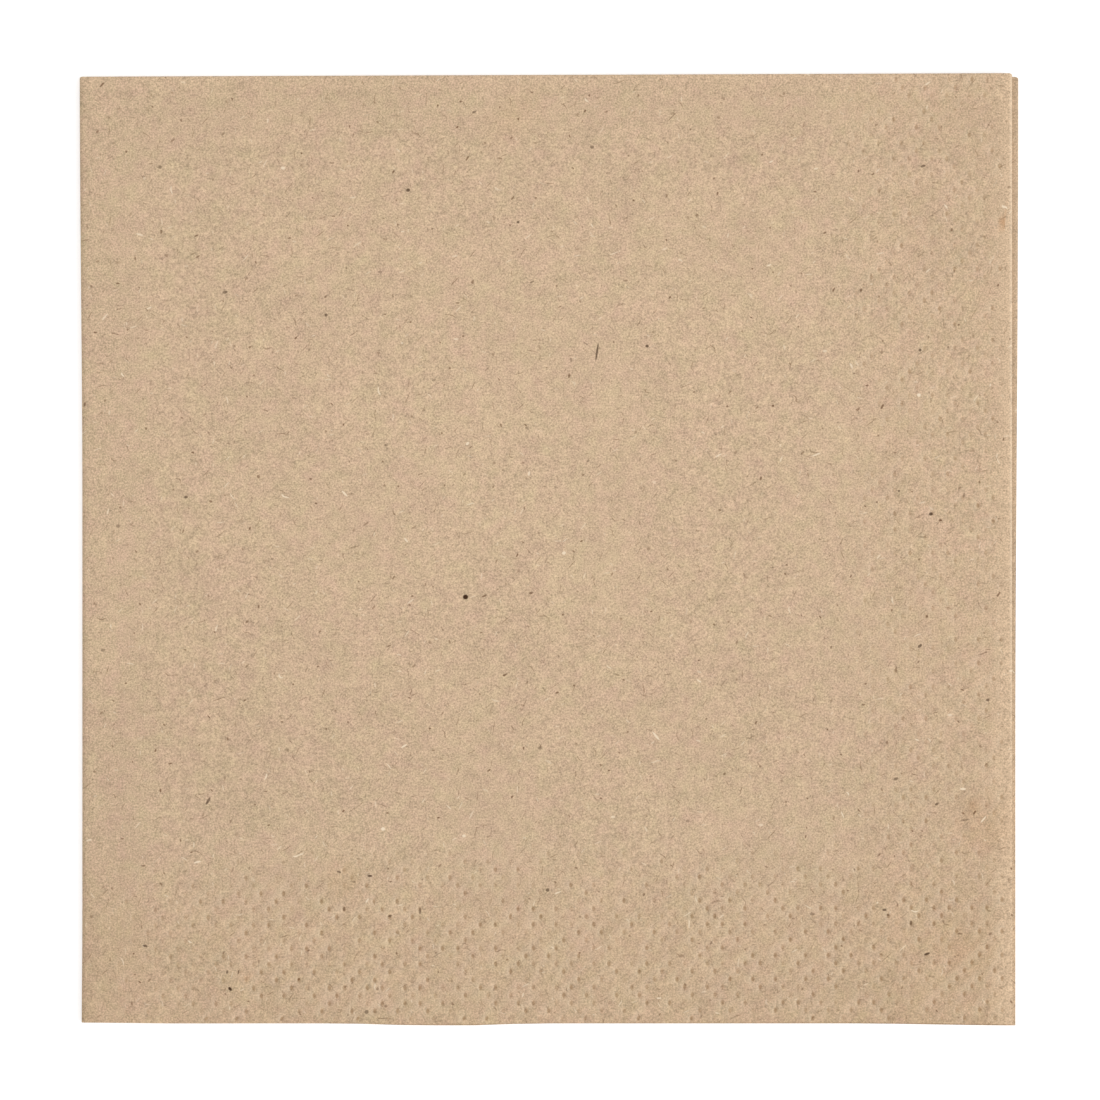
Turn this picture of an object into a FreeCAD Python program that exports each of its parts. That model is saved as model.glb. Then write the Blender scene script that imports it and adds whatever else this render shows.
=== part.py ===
# A paper napkin: one sheet of brown recycled tissue, folded in half and in half again.
#
# All sizes are in millimetres. Seen from above, +X runs to the right, +Y towards the top edge
# and +Z up. The origin is the middle of the footprint, on the surface that the napkin lies on.
#
# The sheet's first fold is the top edge. It makes a pair of layers that hang together there.
# The second fold is the left edge, and it turns the whole pair back under itself, so that
# four layers lie on each other. The right and bottom edges are the sheet's own cut edges.
import FreeCAD, Part
import os

from FreeCAD import Vector

# Footprint of the folded napkin
footprint_width = 163.4
footprint_height = 165.8

# Sheet and the air that its folds trap
sheet_thickness = 0.22
pair_gap = 0.20
middle_gap = 0.30

# The upper pair was folded a little out of square: its top edge climbs to the right
top_edge_climb = 0.62

# Right edge: the lower pair shows past the upper one, most of all in the top corner
upper_pair_setback = 1.10
lower_pair_drift = 0.65
drift_length = 98.0

# Bottom edge: it falls away from the left fold to the bottom right corner
bottom_edge_fall = 0.68

# How much further in than the outermost edge each layer is cut, at the bottom right corner
upper_outer_creep = 0.30
upper_inner_creep = 0.75
lower_inner_creep = 0.45
right_edge_creep = 0.25

# Shallow wave in the lowest layer's bottom edge
wave_offset = -18.0
wave_length = 21.0
wave_height = 0.36

# Heights and places that follow from the sizes above
pair_thickness = 2 * sheet_thickness + pair_gap
stack_thickness = 2 * pair_thickness + middle_gap
right_limit = footprint_width / 2
top_limit = footprint_height / 2
bottom_limit = -footprint_height / 2
left_fold_axis_x = -footprint_width / 2 + stack_thickness / 2
left_fold_axis_z = stack_thickness / 2
lower_top_edge_y = top_limit - top_edge_climb
upper_right_x = right_limit - upper_pair_setback
bottom_left_y = bottom_limit + bottom_edge_fall

# The sheet is made this much too long past its right and bottom edges, then cut to them
spare = 4 * stack_thickness


def pair_section():
    """Section of the upper pair across its top fold, in the plane of the left fold's axis."""
    outer_radius = pair_thickness / 2
    inner_radius = pair_gap / 2
    fold_centre_y = lower_top_edge_y - outer_radius
    fold_centre_z = stack_thickness - outer_radius
    open_end_y = bottom_limit - spare

    def bend(radius):
        return Part.Arc(
            Vector(left_fold_axis_x, fold_centre_y, fold_centre_z - radius),
            Vector(left_fold_axis_x, fold_centre_y + radius, fold_centre_z),
            Vector(left_fold_axis_x, fold_centre_y, fold_centre_z + radius),
        ).toShape()

    def line(start, end):
        return Part.LineSegment(
            Vector(left_fold_axis_x, *start), Vector(left_fold_axis_x, *end)
        ).toShape()

    def level(offset):
        return fold_centre_z + offset

    edges = [
        bend(outer_radius),
        line((fold_centre_y, level(outer_radius)), (open_end_y, level(outer_radius))),
        line((open_end_y, level(outer_radius)), (open_end_y, level(inner_radius))),
        line((open_end_y, level(inner_radius)), (fold_centre_y, level(inner_radius))),
        bend(inner_radius),
        line((fold_centre_y, level(-inner_radius)), (open_end_y, level(-inner_radius))),
        line((open_end_y, level(-inner_radius)), (open_end_y, level(-outer_radius))),
        line((open_end_y, level(-outer_radius)), (fold_centre_y, level(-outer_radius))),
    ]
    return Part.Face(Part.Wire(Part.__sortEdges__(edges)))


def folded_sheet():
    """The sheet with both folds made and its cut edges still too long.

    The pair's section runs in from the right, turns round the left fold and runs back below.
    """
    section = pair_section()
    axis_point = Vector(left_fold_axis_x, 0, left_fold_axis_z)
    upper_run = upper_right_x - left_fold_axis_x
    run = right_limit + spare - left_fold_axis_x
    upper_pair = section.extrude(Vector(run, top_edge_climb * run / upper_run, 0))
    left_fold = section.revolve(axis_point, Vector(0, 1, 0), -180)
    turned_section = section.rotated(axis_point, Vector(0, 1, 0), 180)
    lower_pair = turned_section.extrude(Vector(run, 0, 0))
    return upper_pair.fuse([left_fold, lower_pair]).removeSplitter()


def bottom_edge(right_x, right_y, waved):
    """Edges of one layer's bottom cut, from beyond the left fold to the right edge's corner."""
    slope = (right_y - bottom_left_y) / (right_x - left_fold_axis_x)

    def on_edge(x, drop=0.0):
        return Vector(x, bottom_left_y + slope * (x - left_fold_axis_x) - drop, 0)

    far_left = Vector(-right_limit - spare, bottom_left_y, 0)
    fold_start = on_edge(left_fold_axis_x)
    corner = on_edge(right_x)
    edges = [Part.LineSegment(far_left, fold_start).toShape()]
    if waved:
        wave_start = on_edge(wave_offset - wave_length / 2)
        wave_crest = on_edge(wave_offset, wave_height)
        wave_end = on_edge(wave_offset + wave_length / 2)
        edges.append(Part.LineSegment(fold_start, wave_start).toShape())
        edges.append(Part.Arc(wave_start, wave_crest, wave_end).toShape())
        edges.append(Part.LineSegment(wave_end, corner).toShape())
    else:
        edges.append(Part.LineSegment(fold_start, corner).toShape())
    return edges, far_left, corner


def waste(z_low, z_high, fold_top, corner_x, corner_y, drift=None, waved=False):
    """What is cut off one layer: all that lies right of its right edge or below its bottom edge.

    The right edge starts at fold_top, on the top fold, where the two layers of a pair are one.
    It drifts to corner_x over the drift's length, or over its whole height if none is given.
    """
    edges, far_left, corner = bottom_edge(corner_x, corner_y, waved)
    drift_end = Vector(corner_x, fold_top.y - drift, 0) if drift else corner
    slope = (fold_top.x - drift_end.x) / (fold_top.y - drift_end.y)
    above = Vector(fold_top.x + slope * spare, fold_top.y + spare, 0)
    outside_x = right_limit + 2 * spare
    outside_y = bottom_limit - 2 * spare
    border = [corner, drift_end] if drift else [corner]
    border += [
        above,
        Vector(outside_x, above.y, 0),
        Vector(outside_x, outside_y, 0),
        Vector(far_left.x, outside_y, 0),
        far_left,
    ]
    edges += [Part.LineSegment(a, b).toShape() for a, b in zip(border, border[1:])]
    face = Part.Face(Part.Wire(Part.__sortEdges__(edges)))
    face.translate(Vector(0, 0, z_low))
    return face.extrude(Vector(0, 0, z_high - z_low))


def napkin():
    """The folded sheet with the cut edges of its four layers trimmed, from the lowest up."""
    lower_split = pair_thickness / 2
    middle = stack_thickness / 2
    upper_split = stack_thickness - pair_thickness / 2
    lower_fold_top = Vector(right_limit, lower_top_edge_y, 0)
    upper_fold_top = Vector(upper_right_x, top_limit, 0)
    lower_corner_x = right_limit - lower_pair_drift
    trims = [
        waste(-spare, lower_split, lower_fold_top, lower_corner_x,
              bottom_limit, drift=drift_length, waved=True),
        waste(lower_split, middle, lower_fold_top, lower_corner_x - right_edge_creep,
              bottom_limit + lower_inner_creep, drift=drift_length),
        waste(middle, upper_split, upper_fold_top, upper_right_x - right_edge_creep,
              bottom_limit + upper_inner_creep),
        waste(upper_split, stack_thickness + spare, upper_fold_top, upper_right_x,
              bottom_limit + upper_outer_creep),
    ]
    return folded_sheet().cut(trims)


def main():
    os.makedirs("parts", exist_ok=True)
    napkin().exportStep("parts/napkin.step")


main()
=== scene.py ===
"""A paper napkin of brown recycled tissue, folded in quarters, with an embossed border."""
import math

import bmesh
import bpy
from bpy.props import FloatProperty, FloatVectorProperty, PointerProperty
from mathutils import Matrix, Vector, kdtree, noise


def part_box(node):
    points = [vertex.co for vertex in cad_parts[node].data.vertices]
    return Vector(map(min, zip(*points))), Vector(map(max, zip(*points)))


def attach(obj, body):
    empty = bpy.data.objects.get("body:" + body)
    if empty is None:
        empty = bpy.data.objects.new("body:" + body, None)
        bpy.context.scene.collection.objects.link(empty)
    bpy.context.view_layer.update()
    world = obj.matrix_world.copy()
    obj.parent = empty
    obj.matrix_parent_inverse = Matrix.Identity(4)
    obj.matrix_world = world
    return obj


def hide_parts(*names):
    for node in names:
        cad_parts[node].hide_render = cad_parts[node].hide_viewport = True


bl_info = {
    "name": "Paper napkin",
    "version": (1, 0, 0),
    "blender": (4, 5, 0),
    "location": "View3D > Sidebar > Napkin",
    "description": "Folds a tissue napkin with an embossed border and lays it on a white table",
    "category": "Add Mesh",
}

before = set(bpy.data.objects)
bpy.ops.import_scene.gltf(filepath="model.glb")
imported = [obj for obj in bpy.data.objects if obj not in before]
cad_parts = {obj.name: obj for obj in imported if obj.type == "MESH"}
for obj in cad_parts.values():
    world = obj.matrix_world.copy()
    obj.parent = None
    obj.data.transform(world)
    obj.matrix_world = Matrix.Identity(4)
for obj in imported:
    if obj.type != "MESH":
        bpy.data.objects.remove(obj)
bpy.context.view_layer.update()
low, high = (Vector(corner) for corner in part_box("napkin"))
MM = 0.001

# Sizes of the sheet and its folds, as in the frame
SHEET = 0.22 * MM
PAIR_GAP = 0.20 * MM
PAIR = 2 * SHEET + PAIR_GAP
TOP_CLIMB = 0.62 * MM
STACK = high.z - low.z

# The upper pair is set back at the right, and the layers droop a little at their rim there
SETBACK = 1.10 * MM
RIM = 0.48 * MM
LAYER_DROOP = 0.15 * MM
PAIR_DROOP = 0.12 * MM

# The square sheet's bottom edge, and how far the real one lies above the box's bottom. It
# drops at both ends, and the lowest layer has a wave there that the others follow in part.
BOTTOM_MARGIN = 0.5 * MM
BOTTOM_RISE = 0.55 * MM
LEFT_DROP = 0.20 * MM
RIGHT_DROP = 0.35 * MM
WAVE_DEPTH = 0.34 * MM
WAVE_FOLLOWED = 0.65

# How far each pair's right edge drifts downwards along it, and how far the hidden layers of
# a folded sheet creep inwards
LOWER_PAIR_DRIFT = 0.47 * MM
UPPER_PAIR_RETURN = 0.10 * MM
SIDE_CREEP = 0.25 * MM
SECOND_LAYER_CREEP = 0.30 * MM
UPPER_PAIR_CREEP = 0.25 * MM

# How flat the stack is pressed in its middle and how much flatter at its free edges, as shares
# of the loft, the ripple in that, and how much of it the lifted right edge takes back
FLAT_MIDDLE = 0.8
FLAT_EDGES = 0.6
RIPPLE = 0.25
RIPPLE_LENGTH = 23 * MM
EDGE_LIFT = 0.85

# How far the left fold bows in, how much of that its lower end takes back, and how far the
# folded corner at the top right is rounded
LEFT_BOW = 0.46 * MM
LEFT_FOOT = 0.12 * MM
CORNER_ROUND = 0.40 * MM

# The left fold turns about a line along Y, the top fold about a line along X
LEFT_AXIS = Vector((low.x + STACK / 2, 0, low.z + STACK / 2))
FOLD_START_Y = high.y - TOP_CLIMB - PAIR / 2
FOLD_CENTRE_Z = high.z - PAIR / 2

# The photograph is 1100 pixels square, and this pixel is over the napkin's middle
PHOTO_SIDE = 1100
PHOTO_PIXEL = 0.174 * MM
PHOTO_MIDDLE = (549.0, 549.4)
SENSOR_WIDTH = 36.0

# The rollers press dots on a lattice that repeats every ten places each way. Each place
# belongs to one of three families, and a dot stands where the two families go together.
# The sheet is made with cells of five by five places. The border is five cells wide, and
# only its cells are cut finer.
DOT_FAMILIES = "PQRPRQPRQR"
DOTTED_PAIRS = ("PQ", "QP", "RR")
LATTICE_SIDE = 120
CELL_PLACES = 5
BORDER_CELLS = 5
DOT_PITCH_X = 1.3224 * MM
FIRST_COLUMN = 44.54 * MM
LAST_COLUMN = 26
LATTICE_RIGHT = FIRST_COLUMN + (LAST_COLUMN + 0.5) * DOT_PITCH_X
LATTICE_LEFT = LATTICE_RIGHT - LATTICE_SIDE * DOT_PITCH_X
LATTICE_BOTTOM = -82.27 * MM
DOT_PITCH_Y = (FOLD_START_Y - LATTICE_BOTTOM) / LATTICE_SIDE
BORDER_LEFT = LATTICE_RIGHT - BORDER_CELLS * CELL_PLACES * DOT_PITCH_X
BORDER_TOP = LATTICE_BOTTOM + BORDER_CELLS * CELL_PLACES * DOT_PITCH_Y

# A dot is this much higher than wide, and its core lies this share of its radius further in.
# The right border is pressed less hard than the bottom one, at this share. A dot is pressed
# at this share of the depth, give or take the spread.
DOT_STRETCH = 1.24
DOT_CORE_INSET = 0.6
SIDE_PRESSURE = 0.56
MEAN_PRESSURE = 0.72
PRESSURE_SPREAD = 1.5

# Shift along X and along Y of the sheet's inside, which lay a little askew in the rollers:
# a fixed part, a share of the way left of this point and a share of the way above it
ASKEW_FROM = (48.9 * MM, -68.8 * MM)
ASKEW_X = (0.07 * MM, 0.0050, -0.0033)
ASKEW_Y = (0.0, -0.0024, -0.0011)


def linear(hex_colour):
    """Linear colour with alpha of an sRGB hex value."""
    channels = [int(hex_colour[i : i + 2], 16) / 255 for i in (1, 3, 5)]
    curve = [c / 12.92 if c <= 0.04045 else ((c + 0.055) / 1.055) ** 2.4 for c in channels]
    return (*curve, 1.0)


def smooth_step(start, end, value):
    """0 at start and 1 at end, with a soft start and stop between them."""
    share = min(max((value - start) / (end - start), 0.0), 1.0)
    return share * share * (3 - 2 * share)


def deselect():
    """Leaves every object unselected."""
    bpy.ops.object.select_all(action="DESELECT")


def pick(obj, kind, test):
    """Selects the edges or faces of the object in edit mode that pass the test, and no others."""
    bpy.ops.mesh.select_mode(type=kind)
    bpy.ops.mesh.select_all(action="DESELECT")
    mesh = bmesh.from_edit_mesh(obj.data)
    for item in mesh.edges if kind == "EDGE" else mesh.faces:
        if test(item):
            item.select_set(True)
    bmesh.update_edit_mesh(obj.data)


def extrude(x=0.0, y=0.0, z=0.0):
    """Extrudes what is selected along a vector."""
    bpy.ops.mesh.extrude_region_move(TRANSFORM_OT_translate={"value": (x, y, z)})


def on_line(edge, axis, value):
    """Whether both ends of an edge lie at that value of an axis, 0 for X or 1 for Y."""
    return all(abs(v.co[axis] - value) < 0.01 * MM for v in edge.verts)


class NapkinSettings(bpy.types.PropertyGroup):
    """Sizes and colours of the napkin."""

    dot_width: FloatProperty(
        name="Dot width",
        description="Width of one pressed dot",
        default=1.00 * MM,
        unit="LENGTH",
    )
    dot_depth: FloatProperty(
        name="Dot depth",
        description="Depth of one pressed dot where the border is pressed hardest",
        default=0.12 * MM,
        unit="LENGTH",
    )
    loft: FloatProperty(
        name="Loft",
        description="How far the folds stand above the pressed middle, as a share of the height",
        default=0.25,
        min=0.0,
        max=0.5,
        subtype="FACTOR",
    )
    tissue: FloatVectorProperty(
        name="Tissue",
        description="Main colour of the recycled tissue",
        default=linear("#CCB592"),
        subtype="COLOR",
        size=4,
    )
    pale_fibre: FloatVectorProperty(
        name="Pale fibre",
        description="Colour of the bleached fibres in the pulp",
        default=linear("#F0DCC0"),
        subtype="COLOR",
        size=4,
    )
    dark_fibre: FloatVectorProperty(
        name="Dark fibre",
        description="Colour of the bark and ink specks in the pulp",
        default=linear("#3E2714"),
        subtype="COLOR",
        size=4,
    )


class StageSettings(bpy.types.PropertyGroup):
    """Light and camera."""

    lens: FloatProperty(
        name="Lens", description="Focal length in millimetres", default=300.0, min=1.0
    )
    sky: FloatProperty(
        name="Sky", description="Light that comes evenly from all round", default=0.78, min=0.0
    )
    lamp: FloatProperty(
        name="Lamp", description="Strength of the soft lamp", default=1.20, min=0.0
    )


def right_edge(y, z):
    """Where a layer's right edge lies: the lower pair shows, most of all in the top corner."""
    creep = SIDE_CREEP * smooth_step(FOLD_START_Y, low.y, y)
    hidden = PAIR / 2 < z < STACK - PAIR / 2
    edge = high.x - creep if hidden else high.x
    if z < STACK / 2:
        return edge - LOWER_PAIR_DRIFT * smooth_step(70 * MM, -35 * MM, y)
    return edge - SETBACK + UPPER_PAIR_RETURN * smooth_step(30 * MM, low.y, y)


def bottom_edge(x, z):
    """Where a layer's bottom edge lies: it drops at both ends and in a wave left of the middle."""
    edge = low.y + BOTTOM_RISE
    edge -= LEFT_DROP * smooth_step(low.x, low.x + 20 * MM, x)
    edge -= RIGHT_DROP * smooth_step(52 * MM, high.x, x)
    wave = smooth_step(-37 * MM, -22 * MM, x) * smooth_step(-2 * MM, -14 * MM, x)
    along = (x - low.x) / (high.x - low.x)
    if z < PAIR / 2:
        return edge - WAVE_DEPTH * wave
    creep = SECOND_LAYER_CREEP if z < STACK - PAIR / 2 else UPPER_PAIR_CREEP
    return edge - WAVE_DEPTH * WAVE_FOLLOWED * wave + creep * along


def left_edge_inset(y):
    """How far the left fold lies inside the box: it bows in, most of all below the middle."""
    bow = LEFT_BOW * smooth_step(high.y, 8 * MM, y)
    return bow - LEFT_FOOT * smooth_step(low.y + 18 * MM, low.y, y)


def press(x, y, loft):
    """Share of its height that the stack keeps: less in the middle, all of it at the folds."""
    from_left = smooth_step(low.x, low.x + 26 * MM, x)
    from_top = smooth_step(high.y, high.y - 22 * MM, y)
    lifted = smooth_step(high.x - 16 * MM, high.x, x) * smooth_step(-30 * MM, 25 * MM, y)
    free_edge = max(
        smooth_step(high.x - 8 * MM, high.x, x), smooth_step(low.y + 8 * MM, low.y, y)
    )
    ripple = RIPPLE * noise.noise(Vector((x, y, 0)) / RIPPLE_LENGTH)
    flatness = from_left * from_top * (FLAT_MIDDLE + ripple + FLAT_EDGES * free_edge)
    return 1 - loft * flatness * (1 - EDGE_LIFT * lifted)


def askew(x, y):
    """Shift of the sheet's inside along X and Y: it went a little askew through the rollers."""
    inside = smooth_step(high.x - SETBACK, high.x - SETBACK - 2 * MM, x)
    inside *= smooth_step(LEFT_AXIS.x, LEFT_AXIS.x + 4 * MM, x)
    inside *= smooth_step(low.y + BOTTOM_MARGIN, low.y + BOTTOM_MARGIN + 2 * MM, y)
    inside *= smooth_step(FOLD_START_Y, FOLD_START_Y - 4 * MM, y)
    leftward, upward = ASKEW_FROM[0] - x, y - ASKEW_FROM[1]
    return [
        inside * (fixed + per_left * leftward + per_up * upward)
        for fixed, per_left, per_up in (ASKEW_X, ASKEW_Y)
    ]


def lie(co, loft):
    """Place of a point of the squarely folded sheet once it lies as the napkin in the photo."""
    x, y, z = co
    shift_x, shift_y = askew(x, y)
    upper = smooth_step(STACK / 2 - PAIR_GAP, STACK / 2 + PAIR_GAP, z)
    in_upper_pair = z > STACK / 2
    droop = 0.0
    if x > LATTICE_RIGHT:
        square_edge = high.x - SETBACK if in_upper_pair else high.x
        share = (x - LATTICE_RIGHT) / (square_edge - LATTICE_RIGHT)
        x += share * (right_edge(y, z) - square_edge)
        depth = (z - STACK + PAIR) / PAIR if in_upper_pair else z / PAIR
        rim_share = max((co[0] - square_edge + RIM) / RIM, 0) ** 1.5
        droop = rim_share * (LAYER_DROOP * depth + PAIR_DROOP * in_upper_pair)
        # The folded corner is a little round
        x -= CORNER_ROUND * share * max((y - FOLD_START_Y) / (PAIR / 2), 0) ** 2
    if y < LATTICE_BOTTOM:
        square_edge = low.y + BOTTOM_MARGIN
        share = (LATTICE_BOTTOM - y) / (LATTICE_BOTTOM - square_edge)
        y += share * (bottom_edge(co[0], z) - square_edge)
    along = (co[0] - LEFT_AXIS.x) / (high.x - LEFT_AXIS.x)
    climb = min(max((co[1] - ASKEW_FROM[1]) / (FOLD_START_Y - ASKEW_FROM[1]), 0), 1)
    y += upper * TOP_CLIMB * max(along, 0) * climb
    x += left_edge_inset(co[1]) * smooth_step(low.x + 14 * MM, low.x, co[0])
    z = low.z + (z - droop - low.z) * press(co[0], co[1], loft)
    return Vector((x + shift_x, y + shift_y, z))


def store_rim_light(sheet):
    """Marks the right edge: 1 for a painted highlight on the upper layers' rim, -1 for painted
    shadow on the strip below them.

    Both fade out towards the bottom edge, where the pairs lie closer together.
    """
    rim = sheet.data.attributes.new("rim", "FLOAT", "POINT")
    for vert in sheet.data.vertices:
        share = smooth_step(-55 * MM, -5 * MM, vert.co.y)
        # Painted shadow of the upper pair on the lower pair's strip
        if vert.co.z < STACK / 2 and vert.co.x > high.x - 1.1 * RIM:
            rim.data[vert.index].value = -share
        # Painted highlight on the rim of the upper layers
        if vert.co.z > STACK / 2 and vert.co.x > high.x - SETBACK - 0.6 * RIM:
            rim.data[vert.index].value = share


def lattice_place(co):
    """Column and row of the lattice place nearest to a point, and that place's middle."""
    column = round((co.x - FIRST_COLUMN) / DOT_PITCH_X)
    row = round((co.y - LATTICE_BOTTOM) / DOT_PITCH_Y - 0.5)
    middle = Vector((
        FIRST_COLUMN + column * DOT_PITCH_X,
        LATTICE_BOTTOM + (row + 0.5) * DOT_PITCH_Y,
        co.z,
    ))
    return column, row, middle


def is_dotted(column, row):
    """Whether a dot is pressed at a lattice place."""
    return DOT_FAMILIES[row % 10] + DOT_FAMILIES[column % 10] in DOTTED_PAIRS


def pressure(x, y):
    """How hard the border is pressed there, from 0 at its inner side to 1 near the edges."""
    from_side = smooth_step(BORDER_LEFT - 4 * MM, BORDER_LEFT + 16 * MM, x)
    from_below = smooth_step(BORDER_TOP + 4 * MM, BORDER_TOP - 16 * MM, y)
    rightward = smooth_step(low.x - 20 * MM, low.x + 50 * MM, x)
    return max(from_side * SIDE_PRESSURE, from_below * rightward)


def dot_share(column, row, place):
    """How hard one dot is pressed, from 0 to 1: no two are quite alike."""
    chance = noise.noise(Vector((column * 0.7, row * 0.7, 5)))
    uneven = MEAN_PRESSURE + PRESSURE_SPREAD * chance
    return min(max(pressure(place.x, place.y) * uneven, 0.0), 1.0)


def fold_square():
    """The sheet folded twice, square and level, as one closed solid without its dots."""
    width = LATTICE_RIGHT - LATTICE_LEFT
    height = FOLD_START_Y - LATTICE_BOTTOM
    cells = LATTICE_SIDE // CELL_PLACES
    deselect()
    bpy.ops.mesh.primitive_grid_add(
        x_subdivisions=cells,
        y_subdivisions=cells,
        size=1,
        location=(LATTICE_LEFT + width / 2, LATTICE_BOTTOM + height / 2, high.z),
    )
    sheet = bpy.context.object
    sheet.name = "folded_napkin"
    bpy.ops.object.transform_apply(location=True)
    bpy.ops.object.mode_set(mode="EDIT")
    bpy.ops.transform.resize(
        value=(width, height, 1),
        center_override=(LATTICE_LEFT + width / 2, LATTICE_BOTTOM + height / 2, high.z),
    )

    # Plain margins beyond the lattice, at the right, the bottom and the left
    pick(sheet, "EDGE", lambda e: on_line(e, 0, LATTICE_RIGHT))
    extrude(x=high.x - SETBACK - RIM - LATTICE_RIGHT)
    extrude(x=RIM / 2)
    extrude(x=RIM / 2)
    pick(sheet, "EDGE", lambda e: on_line(e, 0, LATTICE_LEFT) and e.is_boundary)
    extrude(x=LEFT_AXIS.x - LATTICE_LEFT)
    pick(sheet, "EDGE", lambda e: on_line(e, 1, LATTICE_BOTTOM) and e.is_boundary)
    extrude(y=low.y + BOTTOM_MARGIN - LATTICE_BOTTOM)

    # First fold: round the top edge and down again as the second layer
    pick(sheet, "EDGE", lambda e: on_line(e, 1, FOLD_START_Y) and e.is_boundary)
    bpy.ops.mesh.spin(
        steps=6,
        angle=math.pi,
        center=(0, FOLD_START_Y, FOLD_CENTRE_Z),
        axis=(1, 0, 0),
    )
    for _ in range(cells):
        extrude(y=-height / cells)
    extrude(y=low.y + BOTTOM_MARGIN - LATTICE_BOTTOM)

    # Second fold: the pair turns under round the left edge and runs back to the right
    pick(sheet, "EDGE", lambda e: on_line(e, 0, LEFT_AXIS.x) and e.is_boundary)
    bpy.ops.mesh.spin(steps=10, angle=math.pi, center=LEFT_AXIS, axis=(0, 1, 0))
    extrude(x=LATTICE_LEFT - LEFT_AXIS.x)
    for _ in range(cells):
        extrude(x=width / cells)
    extrude(x=high.x - RIM - LATTICE_RIGHT)
    extrude(x=RIM / 2)
    extrude(x=RIM / 2)

    bpy.ops.mesh.select_all(action="SELECT")
    bpy.ops.mesh.remove_doubles(threshold=0.001 * MM)
    bpy.ops.mesh.normals_make_consistent(inside=False)
    mesh = bmesh.from_edit_mesh(sheet.data)
    upper_face = max(mesh.faces, key=lambda f: f.calc_center_median().z)
    if upper_face.normal.z < 0:
        bpy.ops.mesh.flip_normals()
    bpy.ops.object.mode_set(mode="OBJECT")

    tissue = sheet.modifiers.new("Tissue", "SOLIDIFY")
    tissue.thickness = SHEET
    tissue.offset = -1
    tissue.use_even_offset = True
    bpy.ops.object.modifier_apply(modifier=tissue.name)
    return sheet


def is_outer(face):
    """Whether a face is on the napkin's upper face or its underside."""
    height = face.calc_center_median().z
    above = face.normal.z > 0.99 and height > high.z - 0.01 * MM
    below = face.normal.z < -0.99 and height < low.z + 0.01 * MM
    return above or below


def in_border(co):
    """Whether a point lies on the part of the lattice that is pressed."""
    on_lattice = LATTICE_LEFT < co.x < LATTICE_RIGHT and LATTICE_BOTTOM < co.y < FOLD_START_Y
    return on_lattice and (co.x > BORDER_LEFT or co.y < BORDER_TOP)


def press_dots(sheet, settings):
    """Presses the border's dots into both outer faces, each an upright pit with a soft rim.

    The tissue swells at the left of each dot, and the light it catches there is a painted
    highlight, a paler colour.
    """
    radius = settings.dot_width / 2
    bpy.ops.object.mode_set(mode="EDIT")

    # Fine cells all over the border, and of those the ones that hold a dot
    pick(sheet, "FACE", lambda f: is_outer(f) and in_border(f.calc_center_median()))
    bpy.ops.mesh.subdivide(number_cuts=CELL_PLACES - 1)
    pick(
        sheet,
        "FACE",
        lambda f: is_outer(f)
        and in_border(f.calc_center_median())
        and f.calc_area() < 1.2 * DOT_PITCH_X * DOT_PITCH_Y
        and is_dotted(*lattice_place(f.calc_center_median())[:2]),
    )
    mesh = bmesh.from_edit_mesh(sheet.data)
    painted_bulge_highlight = mesh.verts.layers.float.new("painted_bulge_highlight")
    # Painted highlight: corners left of each dot's middle are marked to be paler
    for face in [f for f in mesh.faces if f.select]:
        column, row, middle = lattice_place(face.calc_center_median())
        for vert in [v for v in face.verts if v.co.x < middle.x]:
            vert[painted_bulge_highlight] = max(vert[painted_bulge_highlight], 0.5 * dot_share(column, row, middle))

    # The outline: a small square in each of them, cut in four and drawn out to an ellipse
    bpy.ops.mesh.inset(thickness=DOT_PITCH_X / 2 - 0.8 * radius, depth=0, use_individual=True)
    bpy.ops.mesh.subdivide(number_cuts=1)
    mesh = bmesh.from_edit_mesh(sheet.data)
    painted_bulge_highlight = mesh.verts.layers.float["painted_bulge_highlight"]
    for vert in {v for f in mesh.faces if f.select for v in f.verts}:
        column, row, middle = lattice_place(vert.co)
        arm = vert.co - middle
        way = arm.normalized() if arm.length > 0.1 * radius else Vector()
        vert.co = middle + radius * Vector((way.x, DOT_STRETCH * way.y, 0))
        vert[painted_bulge_highlight] = max(-way.x, 0) * dot_share(column, row, middle)
    bmesh.update_edit_mesh(sheet.data)

    # The core, pressed in from whichever face it is on
    bpy.ops.mesh.inset(thickness=DOT_CORE_INSET * radius, depth=0, use_individual=False)
    mesh = bmesh.from_edit_mesh(sheet.data)
    pressed = mesh.verts.layers.float.new("pressed")
    painted_bulge_highlight = mesh.verts.layers.float["painted_bulge_highlight"]
    for vert in {v for f in mesh.faces if f.select for v in f.verts}:
        column, row, middle = lattice_place(vert.co)
        share = dot_share(column, row, middle)
        inward = 1 if vert.co.z < STACK / 2 else -1
        vert.co.z += inward * share * settings.dot_depth
        vert[pressed] = share
        vert[painted_bulge_highlight] = 0.0
    bmesh.update_edit_mesh(sheet.data)
    bpy.ops.object.mode_set(mode="OBJECT")


def add_node(tree, kind, inputs=None, **settings):
    """Adds a node, sets it up, and feeds its inputs with values or with other nodes' outputs."""
    new = tree.nodes.new(kind)
    for name, value in settings.items():
        setattr(new, name, value)
    for name, value in (inputs or {}).items():
        if isinstance(value, bpy.types.NodeSocket):
            tree.links.new(value, new.inputs[name])
        else:
            new.inputs[name].default_value = value
    return new


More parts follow.
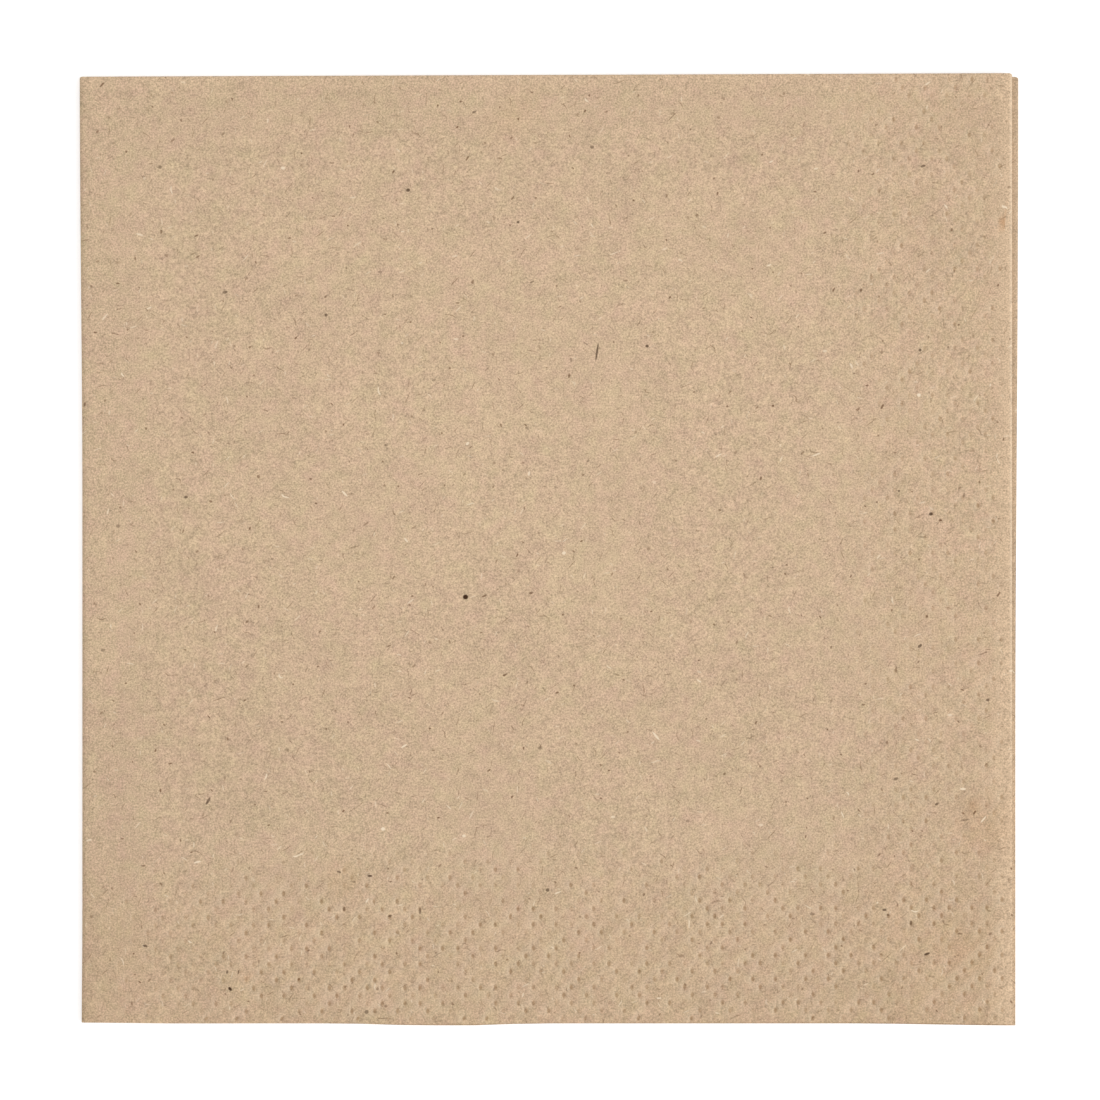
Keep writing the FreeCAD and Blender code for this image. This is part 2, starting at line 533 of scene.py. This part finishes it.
# Specks and fibres that show in the photo, by their pixel there: across, down, length and
# width in pixels, turn in degrees anticlockwise from level, and how strong it is
DARK_SPECKS = (
    (465.5, 597, 6.2, 5.6, 0, 1.0),
    (597, 352, 21, 2.4, 82, 0.75),
    (587, 344, 10, 1.8, -24, 0.45),
    (571, 360, 5, 3, 100, 0.4),
    (647, 346, 4, 3.4, 0, 0.8),
    (408, 190, 4.6, 4, 20, 0.8),
    (592, 147, 5, 3.6, 0, 0.6),
    (518, 222, 3.4, 3, 0, 0.7),
    (532, 282, 6, 2, 30, 0.5),
    (474, 112, 5, 3, 20, 0.55),
    (160, 167, 5, 4, 0, 0.5),
    (225, 292, 6, 3.4, 10, 0.6),
    (326, 315, 4, 3.6, 0, 0.65),
    (309, 350, 3, 3, 0, 0.4),
    (487, 369, 7, 2, 45, 0.4),
    (434, 380, 5, 2, 10, 0.4),
    (386, 445, 5, 2.2, 0, 0.5),
    (588, 461, 4.4, 2.4, 40, 0.5),
    (556, 487, 5, 2, -10, 0.4),
    (527, 428, 4, 3, 0, 0.4),
    (920, 350, 3.6, 3.4, 0, 0.7),
    (923, 166, 6, 3, 20, 0.6),
    (380, 272, 5, 3, 0, 0.4),
    (186, 497, 4.4, 3.4, 0, 0.65),
    (205, 511, 26, 1.8, -38, 0.25),
    (118, 526, 5, 4, 0, 0.5),
    (103, 650, 5, 4, 0, 0.45),
    (899, 491, 3, 3, 0, 0.6),
    (964, 495, 6, 3, 80, 0.4),
    (931, 514, 4.6, 3.8, 0, 0.85),
    (922, 537, 10, 1.8, 0, 0.4),
    (920, 646, 6, 3.2, 40, 0.7),
    (988, 700, 4, 3.4, 0, 0.7),
    (540, 748, 5, 4, 0, 0.4),
    (287, 750, 5, 4, 0, 0.4),
    (896, 779, 6, 3.4, 20, 0.6),
    (208, 801, 10, 3, 60, 0.7),
    (937, 804, 5, 3, 30, 0.65),
    (688, 821, 5, 3.4, 0, 0.4),
    (965, 820, 11, 2, 5, 0.4),
    (339, 872, 5, 2.4, -15, 0.65),
    (370, 876, 5.6, 2, 0, 0.95),
    (354, 882, 4, 3, 0, 0.45),
    (547.6, 890, 4.4, 4, 0, 0.7),
    (344, 909, 4.6, 3, 90, 0.5),
    (420, 911, 8, 2.6, 90, 0.55),
    (390, 916, 4.6, 3, 20, 0.6),
    (884.5, 910, 5, 3, 0, 0.7),
    (888, 915, 3.2, 2.6, -45, 0.6),
    (911, 923, 5.4, 3, 80, 0.55),
    (812, 914, 5, 4, 0, 0.45),
    (145, 946, 6, 2.8, -15, 0.7),
    (927, 954, 7, 2.8, 20, 0.85),
    (227, 972, 4, 2.4, 80, 0.65),
    (238.5, 972, 4.4, 1.6, 90, 0.7),
    (230, 989, 5.4, 3.4, -50, 0.95),
    (366.6, 1012, 5, 4.4, 0, 0.55),
    (935, 213, 24, 1.8, 35, 0.25),
)
PALE_FIBRES = (
    (283, 168, 5, 3.6, 0, 0.8),
    (456, 339, 6, 2, 0, 0.6),
    (402, 343, 3, 2.4, 0, 0.6),
    (467.5, 443.5, 4.6, 3, 40, 0.9),
    (529, 473.5, 5.6, 2.6, 80, 0.75),
    (344.5, 493.5, 9, 2.2, -45, 0.9),
    (406, 540, 6.6, 2.2, -50, 0.8),
    (564, 553, 4.6, 3.6, 20, 0.9),
    (919, 395, 4.4, 4, 0, 1.0),
    (825, 351, 5, 3, 0, 0.6),
    (950, 715, 5, 3, 0, 0.6),
    (656, 736, 12, 2.4, -50, 0.85),
    (383, 829, 4.6, 4, 0, 1.0),
    (464, 836, 4.4, 3.4, 0, 0.8),
    (695, 797, 5, 3, 90, 0.6),
    (613, 817, 5, 3, 0, 0.6),
    (761, 825, 5, 3, 0, 0.6),
    (963, 789, 7, 2.6, 0, 0.9),
)

# Faint brown patches in the photo: across, down and width in pixels, and how strong it is
BROWN_PATCHES = (
    (522, 105, 22, 1.0),
    (520, 112, 50, 0.3),
    (1005, 222, 14, 1.6),
    (693, 814, 12, 1.3),
    (345, 878, 40, 0.35),
    (246, 978, 10, 0.8),
    (973, 805, 16, 0.6),
    (985, 825, 70, 0.4),
    (960, 950, 60, 0.3),
)


# How far from its middle a brown patch reaches, as a share of its width
PATCH_REACH = 0.7


def on_paper(across, down):
    """Place on the napkin that a pixel of the photograph shows."""
    x = (across - PHOTO_MIDDLE[0]) * PHOTO_PIXEL
    y = (PHOTO_MIDDLE[1] - down) * PHOTO_PIXEL
    return Vector((x, y, high.z))


def seen_marks():
    """The photo's marks as middle, half length, half width, turn and strength, pale below 0."""
    signed = [(mark, 1) for mark in DARK_SPECKS] + [(mark, -1) for mark in PALE_FIBRES]
    return [
        (
            on_paper(across, down),
            length * PHOTO_PIXEL / 2,
            width * PHOTO_PIXEL / 2,
            math.radians(turn),
            sign * strength,
        )
        for (across, down, length, width, turn, strength), sign in signed
    ]


def tree_of(marks):
    """Search tree over the middles of marks."""
    tree = kdtree.KDTree(len(marks))
    for number, mark in enumerate(marks):
        tree.insert(mark[0], number)
    tree.balance()
    return tree


def store_marks(sheet):
    """Tells each face which mark lies on it, and each corner how brown the paper is there."""
    mesh = sheet.data
    middles = mesh.attributes.new("mark_middle", "FLOAT_VECTOR", "FACE")
    sizes = mesh.attributes.new("mark_size", "FLOAT_VECTOR", "FACE")
    marks = seen_marks()
    tree = tree_of(marks)
    for face in mesh.polygons:
        sizes.data[face.index].vector = (1, 1, 0)
        reach = max((mesh.vertices[i].co - face.center).length for i in face.vertices)
        _, number, distance = tree.find(face.center)
        middle, half_length, half_width, turn, strength = marks[number]
        if distance < reach + half_length:
            middles.data[face.index].vector = (middle.x, middle.y, turn)
            sizes.data[face.index].vector = (half_length, half_width, strength)
    stain = mesh.attributes.new("stain", "FLOAT", "POINT")
    for vert in mesh.vertices:
        for across, down, width, strength in BROWN_PATCHES:
            distance = (vert.co - on_paper(across, down)).length
            stain.data[vert.index].value += strength * smooth_step(
                width * PHOTO_PIXEL * PATCH_REACH, 0, distance
            )


def add_noise(tree, place, grain, detail, roughness=0.5):
    """Noise from 0 to 1 whose lumps are about as wide as the grain."""
    return add_node(
        tree,
        "ShaderNodeTexNoise",
        {"Vector": place, "Scale": 1 / grain, "Detail": detail, "Roughness": roughness},
    ).outputs["Fac"]


def add_range(tree, value, start, end, low_out=0.0, high_out=1.0):
    """Maps a value from one range to another, clamped at both ends."""
    return add_node(
        tree,
        "ShaderNodeMapRange",
        {
            "Value": value,
            "From Min": start,
            "From Max": end,
            "To Min": low_out,
            "To Max": high_out,
        },
    ).outputs["Result"]


def add_mix(tree, factor, first, second):
    """Mixes two colours: all of the first at 0, all of the second at 1."""
    mix = add_node(tree, "ShaderNodeMix", data_type="RGBA")
    for socket, value in ((0, factor), (6, first), (7, second)):
        if isinstance(value, bpy.types.NodeSocket):
            tree.links.new(value, mix.inputs[socket])
        else:
            mix.inputs[socket].default_value = value
    return mix.outputs[2]


def scaled(tree, colour, factor):
    """A colour made brighter or darker by a factor."""
    return add_node(
        tree, "ShaderNodeVectorMath", {0: colour, "Scale": factor}, operation="SCALE"
    ).outputs["Vector"]


def add_math(tree, operation, first, second=0.0, third=0.0):
    """Result of a sum on values or on other nodes' outputs."""
    return add_node(
        tree, "ShaderNodeMath", {0: first, 1: second, 2: third}, operation=operation
    ).outputs[0]


def add_ellipse(tree, away, turn, half_length, half_width):
    """1 in the middle of an ellipse and 0 outside it, for a vector from its middle."""
    turned = add_node(
        tree,
        "ShaderNodeVectorRotate",
        {"Vector": away, "Angle": add_math(tree, "MULTIPLY", turn, -1.0)},
        rotation_type="Z_AXIS",
    ).outputs["Vector"]
    ways = add_node(tree, "ShaderNodeSeparateXYZ", {0: turned}).outputs
    along = add_math(tree, "DIVIDE", ways["X"], half_length)
    across = add_math(tree, "DIVIDE", ways["Y"], half_width)
    square = add_math(tree, "MULTIPLY_ADD", across, across, add_math(tree, "POWER", along, 2.0))
    return add_range(tree, square, 1.0, 0.45)


def add_flecks(tree, place, spacing, length, width, share, offset):
    """Strength of fibres strewn at random, at most one in each cell of that spacing.

    Share is the part of the cells that hold a fibre, and no two are equally strong.
    """
    moved = add_node(
        tree, "ShaderNodeVectorMath", {0: place, 1: (offset, offset, 0)}, operation="ADD"
    ).outputs["Vector"]
    cells = add_node(
        tree,
        "ShaderNodeTexVoronoi",
        {"Vector": moved, "Scale": 1 / spacing},
        voronoi_dimensions="2D",
    ).outputs
    away = add_node(
        tree, "ShaderNodeVectorMath", {0: moved, 1: cells["Position"]}, operation="SUBTRACT"
    ).outputs["Vector"]
    chance = add_node(tree, "ShaderNodeSeparateColor", {0: cells["Color"]}).outputs
    turn = add_math(tree, "MULTIPLY", chance["Red"], math.pi)
    half_length = add_range(tree, chance["Green"], 0, 1, 0.2 * length, 0.5 * length)
    inside = add_ellipse(tree, away, turn, half_length, width / 2)
    strength = add_range(tree, chance["Blue"], 1 - share, 1)
    return add_math(tree, "MULTIPLY", inside, strength)


def add_mark_strength(tree, place):
    """Strength of the mark on each face: 1 in the middle of a dark one, -1 of a pale one."""
    middle = add_node(tree, "ShaderNodeAttribute", attribute_name="mark_middle")
    size = add_node(tree, "ShaderNodeAttribute", attribute_name="mark_size")
    turn = add_node(tree, "ShaderNodeSeparateXYZ", {0: middle.outputs["Vector"]}).outputs["Z"]
    sizes = add_node(tree, "ShaderNodeSeparateXYZ", {0: size.outputs["Vector"]}).outputs
    away = add_node(
        tree, "ShaderNodeVectorMath", {0: place, 1: middle.outputs["Vector"]}, operation="SUBTRACT"
    ).outputs["Vector"]
    inside = add_ellipse(tree, away, turn, sizes["X"], sizes["Y"])
    return add_math(tree, "MULTIPLY", inside, sizes["Z"])


# Pulp where it is warmer, pressed, paler in a painted highlight at the edges, or stained, bark in
# it, and the dots' colour, partly pressed pulp and partly painted shade
WARM_PULP = linear("#D0B096")
PRESSED_PULP = linear("#B08558")
EDGE_HIGHLIGHT_PULP = linear("#D2B697")
STAIN = linear("#B9875A")
BARK = linear("#5E3A1C")
DOT_SHADE = linear("#83603A")

# Grain of the tissue: size, detail, roughness and contrast of its single fibres, which are
# drawn as wide as they need to show, of the flocks that they make and of the clouds
GRAIN = (
    (0.30 * MM, 1, 0.8, 1.30),
    (1.6 * MM, 1, 0.6, 0.32),
    (8 * MM, 2, 0.6, 0.18),
)

# Fibres of the pulp, from the many faint ones to the few strong ones: whether they are pale,
# one to each cell of this spacing, length, width, share of the cells that hold one,
# strength, and a shift of their own so that no two kinds share their cells
FIBRES = (
    (False, 1.6 * MM, 1.2 * MM, 0.20 * MM, 0.7, 0.36, 0.11),
    (False, 2.9 * MM, 2.6 * MM, 0.18 * MM, 0.5, 0.50, 0.31),
    (False, 4.2 * MM, 0.8 * MM, 0.38 * MM, 0.6, 0.74, 0.23),
    (True, 3.1 * MM, 1.4 * MM, 0.22 * MM, 0.5, 0.60, 0.37),
    (True, 9.0 * MM, 1.8 * MM, 0.32 * MM, 0.5, 0.90, 0.53),
)

# No fibre is quite straight: it bends by about this much over this length
BEND = 0.9 * MM
BEND_LENGTH = 1.4 * MM


def recycled_tissue(settings):
    """Unbleached recycled tissue: short matt fibres, cloudy pulp, pale and dark specks.

    Tissue has no gloss. The eye sees a fine light and dark grain of single fibres about
    0.3 mm long, faint clouds where the pulp is thicker, and dots that are darker partly
    because the plies are pressed together there and partly through painted shade in the pits.
    """
    material = bpy.data.materials.new("recycled_tissue")
    material.use_nodes = True
    tree = material.node_tree
    shader = tree.nodes["Principled BSDF"]
    place = add_node(tree, "ShaderNodeTexCoord").outputs["Object"]
    ways = add_node(tree, "ShaderNodeSeparateXYZ", {0: place}).outputs

    # The pulp is warmer in places, duller towards the bottom edge, darker towards the far corners
    # in painted shade where less light falls, and browner where the border is pressed
    hue = add_range(tree, add_noise(tree, place, 3.5 * MM, detail=2, roughness=0.7), 0.2, 0.8)
    colour = add_mix(tree, hue, WARM_PULP, tuple(settings.tissue))
    lower = add_range(tree, ways["Y"], 20 * MM, -80 * MM)
    colour = add_mix(tree, lower, colour, scaled(tree, colour, 0.94))
    # Painted shade: darker towards the far corners, where less light falls
    far = add_node(
        tree, "ShaderNodeVectorMath", {0: place, 1: (20 * MM, -5 * MM, 0)}, operation="DISTANCE"
    ).outputs["Value"]
    far = add_range(tree, far, 45 * MM, 130 * MM)
    colour = add_mix(tree, far, colour, scaled(tree, colour, 0.935))
    pressed_side = add_range(tree, ways["X"], 48 * MM, 62 * MM, 0, 0.055)
    pressed_foot = add_range(tree, ways["Y"], -50 * MM, -66 * MM, 0, 0.09)
    border = add_math(tree, "ADD", pressed_side, pressed_foot)
    colour = add_mix(tree, border, colour, PRESSED_PULP)

    # It is a little paler along the right and the top edge, a painted highlight where the edges
    # catch the light, and stained in places
    # Painted highlight: paler towards the right and the top edge
    at_right = add_range(tree, ways["X"], 76.6 * MM, 79.8 * MM)
    at_top = add_range(tree, ways["Y"], 79.5 * MM, 82.2 * MM, 0, 0.5)
    painted_edge_highlight = add_math(tree, "MAXIMUM", at_right, at_top)
    colour = add_mix(tree, painted_edge_highlight, colour, EDGE_HIGHLIGHT_PULP)
    stain = add_node(tree, "ShaderNodeAttribute", attribute_name="stain").outputs["Fac"]
    colour = add_mix(tree, add_range(tree, stain, 0, 2, 0, 0.8), colour, STAIN)

    # The grain makes it lighter and darker about its own colour
    grain = 1.0
    lumps = [add_noise(tree, place, *kind[:3]) for kind in GRAIN]
    for lump, (*_, contrast) in zip(lumps, GRAIN):
        swing = add_math(tree, "SUBTRACT", lump, 0.5)
        grain = add_math(tree, "MULTIPLY_ADD", swing, contrast, grain)
    colour = scaled(tree, colour, grain)

    # Fibres on top of the grain
    dark = tuple(settings.dark_fibre)
    pale = tuple(settings.pale_fibre)
    bend = add_math(tree, "SUBTRACT", add_noise(tree, place, BEND_LENGTH, detail=0), 0.5)
    bent = add_node(
        tree,
        "ShaderNodeVectorMath",
        {0: (BEND, BEND, 0), 1: bend, 2: place},
        operation="MULTIPLY_ADD",
    ).outputs["Vector"]
    for is_pale, spacing, length, width, share, strength, offset in FIBRES:
        flecks = add_flecks(tree, bent, spacing, length, width, share, offset)
        factor = add_math(tree, "MULTIPLY", flecks, strength)
        colour = add_mix(tree, factor, colour, pale if is_pale else BARK)

    # The right edge, the pressed dots, then the single specks and fibres that the photo shows
    rim = add_node(tree, "ShaderNodeAttribute", attribute_name="rim").outputs["Fac"]
    # Painted highlight on the upper layers' rim at the right edge
    colour = add_mix(tree, add_range(tree, rim, 0, 1, 0, 0.25), colour, pale)
    # Painted shadow of the upper pair on the strip below it
    colour = add_mix(tree, add_range(tree, rim, 0, -1), colour, scaled(tree, colour, 0.86))
    pressed = add_node(tree, "ShaderNodeAttribute", attribute_name="pressed").outputs["Fac"]
    # Dots darker partly as pressed tissue is, and partly in painted shade of the pits
    colour = add_mix(tree, add_range(tree, pressed, 0.2, 1, 0, 0.48), colour, DOT_SHADE)
    # Painted highlight at the left of each dot
    painted_bulge_highlight = add_node(tree, "ShaderNodeAttribute", attribute_name="painted_bulge_highlight").outputs["Fac"]
    colour = add_mix(tree, add_range(tree, painted_bulge_highlight, 0, 1, 0, 0.30), colour, pale)
    mark = add_mark_strength(tree, place)
    colour = add_mix(tree, add_range(tree, mark, 0, 1), colour, dark)
    colour = add_mix(tree, add_range(tree, mark, 0, -1), colour, pale)

    tree.links.new(colour, shader.inputs["Base Color"])
    shader.inputs["Roughness"].default_value = 0.92
    shader.inputs["Specular IOR Level"].default_value = 0.2
    bump = add_node(
        tree, "ShaderNodeBump", {"Height": lumps[0], "Strength": 0.3, "Distance": 0.05 * MM}
    )
    tree.links.new(bump.outputs["Normal"], shader.inputs["Normal"])
    return material


class NAPKIN_OT_place_camera(bpy.types.Operator):
    """Put the camera straight above the napkin, at the photograph's framing"""

    bl_idname = "napkin.place_camera"
    bl_label = "Place Camera"

    def execute(self, context):
        settings = context.scene.napkin_stage
        deselect()
        height = PHOTO_SIDE * PHOTO_PIXEL * settings.lens / SENSOR_WIDTH
        middle = PHOTO_SIDE / 2
        bpy.ops.object.camera_add(
            location=(
                (middle - PHOTO_MIDDLE[0]) * PHOTO_PIXEL,
                (PHOTO_MIDDLE[1] - middle) * PHOTO_PIXEL,
                high.z + height,
            ),
            rotation=(0, 0, 0),
        )
        camera = context.object
        camera.name = "photo_camera"
        camera.data.lens = settings.lens
        camera.data.sensor_width = SENSOR_WIDTH
        camera.data.clip_start = 0.01
        context.scene.camera = camera
        return {"FINISHED"}


class NAPKIN_OT_fold_napkin(bpy.types.Operator):
    """Fold the sheet, press its border and give it its tissue"""

    bl_idname = "napkin.fold_napkin"
    bl_label = "Fold Napkin"

    def execute(self, context):
        settings = context.scene.napkin
        sheet = fold_square()
        press_dots(sheet, settings)
        store_rim_light(sheet)
        for vert in sheet.data.vertices:
            vert.co = lie(vert.co, settings.loft)
        store_marks(sheet)
        bpy.ops.object.shade_smooth_by_angle(angle=math.radians(40))
        sheet.data.materials.append(recycled_tissue(settings))
        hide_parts("napkin")
        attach(sheet, "root")
        return {"FINISHED"}


def add_seen(tree):
    """1 for what the camera sees, also in a mirror or through glass, and 0 for other light."""
    rays = add_node(tree, "ShaderNodeLightPath").outputs
    seen = add_math(tree, "MAXIMUM", rays["Is Camera Ray"], rays["Is Glossy Ray"])
    return add_math(tree, "MAXIMUM", seen, rays["Is Transmission Ray"])


# The table, a hair below the napkin so that the two don't share a face, and what it gives
# the camera on top of the light that it sends back, so that it shows as pure white
TABLE_SIZE = 4.0
TABLE_GAP = 0.02 * MM
TABLE_GLOW = 0.38

# The lamp leans from the right, a little from below in the picture, and is as wide as a
# window
LAMP_PLACE = (0.5, 0.1, 0.6)
LAMP_LEAN = (math.radians(10), math.radians(54), 0)
LAMP_WIDTH = math.radians(40)


def white_table():
    """Plain matt white: the camera sees it as pure white, with the napkin's soft shadow."""
    material = bpy.data.materials.new("white_laminate")
    material.use_nodes = True
    tree = material.node_tree
    shader = tree.nodes["Principled BSDF"]
    shader.inputs["Base Color"].default_value = (0.9, 0.9, 0.9, 1)
    shader.inputs["Roughness"].default_value = 0.9
    shader.inputs["Specular IOR Level"].default_value = 0.1
    glow = add_math(tree, "MULTIPLY", add_seen(tree), TABLE_GLOW)
    shader.inputs["Emission Color"].default_value = (1, 1, 1, 1)
    tree.links.new(glow, shader.inputs["Emission Strength"])
    return material


class NAPKIN_OT_lay_stage(bpy.types.Operator):
    """Add the white table, the even sky and the soft lamp"""

    bl_idname = "napkin.lay_stage"
    bl_label = "Lay Stage"

    def execute(self, context):
        settings = context.scene.napkin_stage
        deselect()
        bpy.ops.mesh.primitive_plane_add(size=TABLE_SIZE, location=(0, 0, low.z - TABLE_GAP))
        table = context.object
        table.name = "table_top"
        bpy.ops.object.transform_apply(location=True)
        table.data.materials.append(white_table())

        bpy.ops.object.light_add(type="SUN", location=LAMP_PLACE, rotation=LAMP_LEAN)
        lamp = context.object
        lamp.name = "soft_lamp"
        lamp.data.energy = settings.lamp
        lamp.data.angle = LAMP_WIDTH

        world = bpy.data.worlds.new("even_sky")
        context.scene.world = world
        world.use_nodes = True
        tree = world.node_tree
        strength = add_range(tree, add_seen(tree), 0, 1, settings.sky, 1.0)
        tree.nodes["Background"].inputs["Color"].default_value = (1, 1, 1, 1)
        tree.links.new(strength, tree.nodes["Background"].inputs["Strength"])
        context.scene.view_settings.view_transform = "Standard"
        return {"FINISHED"}


class NAPKIN_PT_panel(bpy.types.Panel):
    """Sidebar panel with the napkin's steps and settings"""

    bl_idname = "NAPKIN_PT_panel"
    bl_label = "Paper Napkin"
    bl_space_type = "VIEW_3D"
    bl_region_type = "UI"
    bl_category = "Napkin"

    def draw(self, context):
        for step in STEPS:
            self.layout.operator(step.bl_idname)
        for name in NapkinSettings.__annotations__:
            self.layout.prop(context.scene.napkin, name)
        for name in StageSettings.__annotations__:
            self.layout.prop(context.scene.napkin_stage, name)


STEPS = (NAPKIN_OT_place_camera, NAPKIN_OT_fold_napkin, NAPKIN_OT_lay_stage)
CLASSES = (NapkinSettings, StageSettings, *STEPS, NAPKIN_PT_panel)


def register():
    """Registers the classes and their settings."""
    for kind in CLASSES:
        bpy.utils.register_class(kind)
    bpy.types.Scene.napkin = PointerProperty(type=NapkinSettings)
    bpy.types.Scene.napkin_stage = PointerProperty(type=StageSettings)


def unregister():
    """Removes the classes and their settings."""
    del bpy.types.Scene.napkin_stage
    del bpy.types.Scene.napkin
    for kind in reversed(CLASSES):
        bpy.utils.unregister_class(kind)


def main():
    """Makes the scene."""
    register()
    bpy.ops.napkin.place_camera()
    bpy.ops.napkin.fold_napkin()
    bpy.ops.napkin.lay_stage()


if __name__ == "__main__":
    main()
